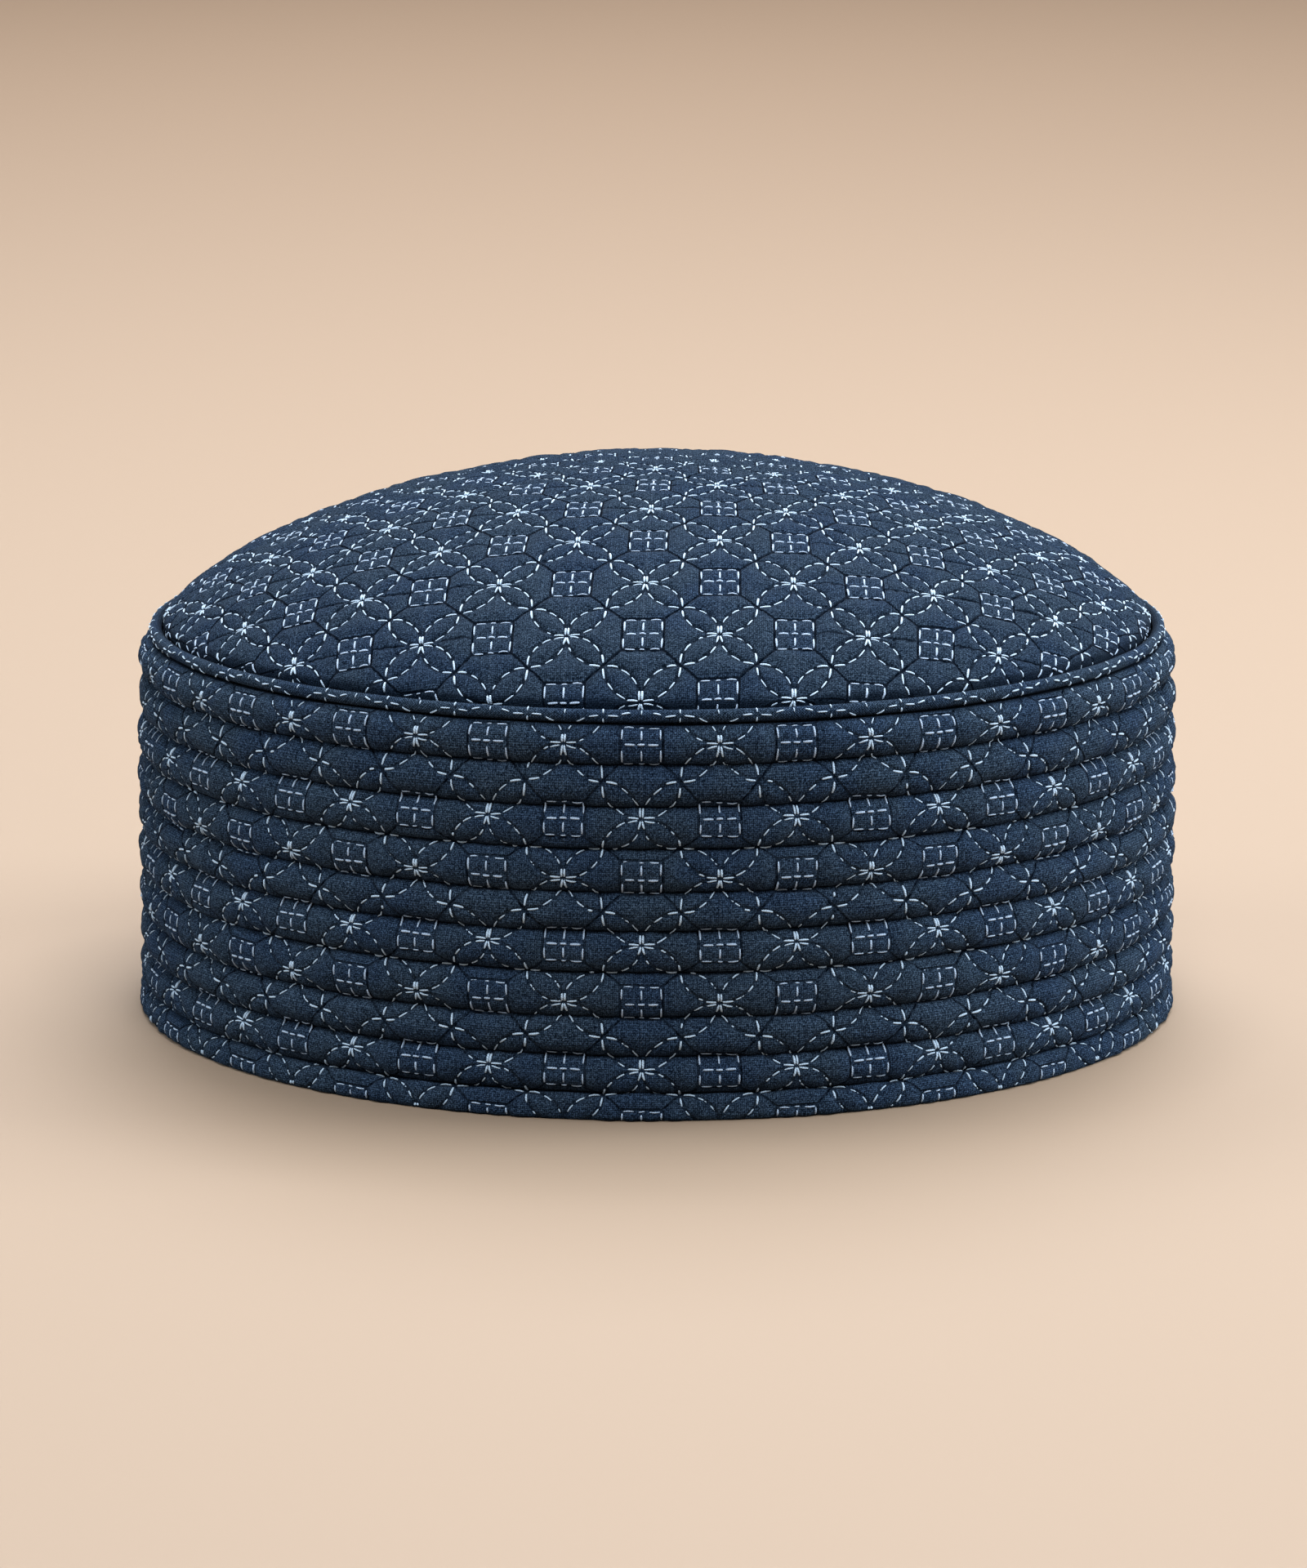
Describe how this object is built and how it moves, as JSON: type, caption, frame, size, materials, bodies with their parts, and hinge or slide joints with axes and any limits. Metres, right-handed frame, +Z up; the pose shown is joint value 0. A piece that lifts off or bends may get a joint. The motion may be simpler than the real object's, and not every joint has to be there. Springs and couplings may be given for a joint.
{
  "type": "kufi cap",
  "caption": "Round brimless quilted cap with a shallow stitched dome, a thin piping cord and a side band of padded horizontal ribs, hollow and open below for the head.",
  "frame": {"origin": "centre of the hem's flat lower edge, on the surface the cap stands on", "axes": "+Z up through the middle of the crown; the cap is round about Z, and -Y is the side the picture shows"},
  "size_m": [0.194, 0.194, 0.1015],
  "materials": {
    "navy_quilted_cloth": "matt navy slub cotton, quilted",
    "piping_cloth": "matt navy cotton drawn over a cord",
    "pale_blue_thread": "soft mercerised cotton embroidery thread",
    "steel_blue_thread": "soft mercerised cotton embroidery thread",
    "dark_quilting_thread": "matt navy sewing thread"
  },
  "bodies": {
    "root": {"crown": "navy_quilted_cloth", "crown_piping": "piping_cloth", "side_band": "navy_quilted_cloth"}
  },
  "joints": []
}
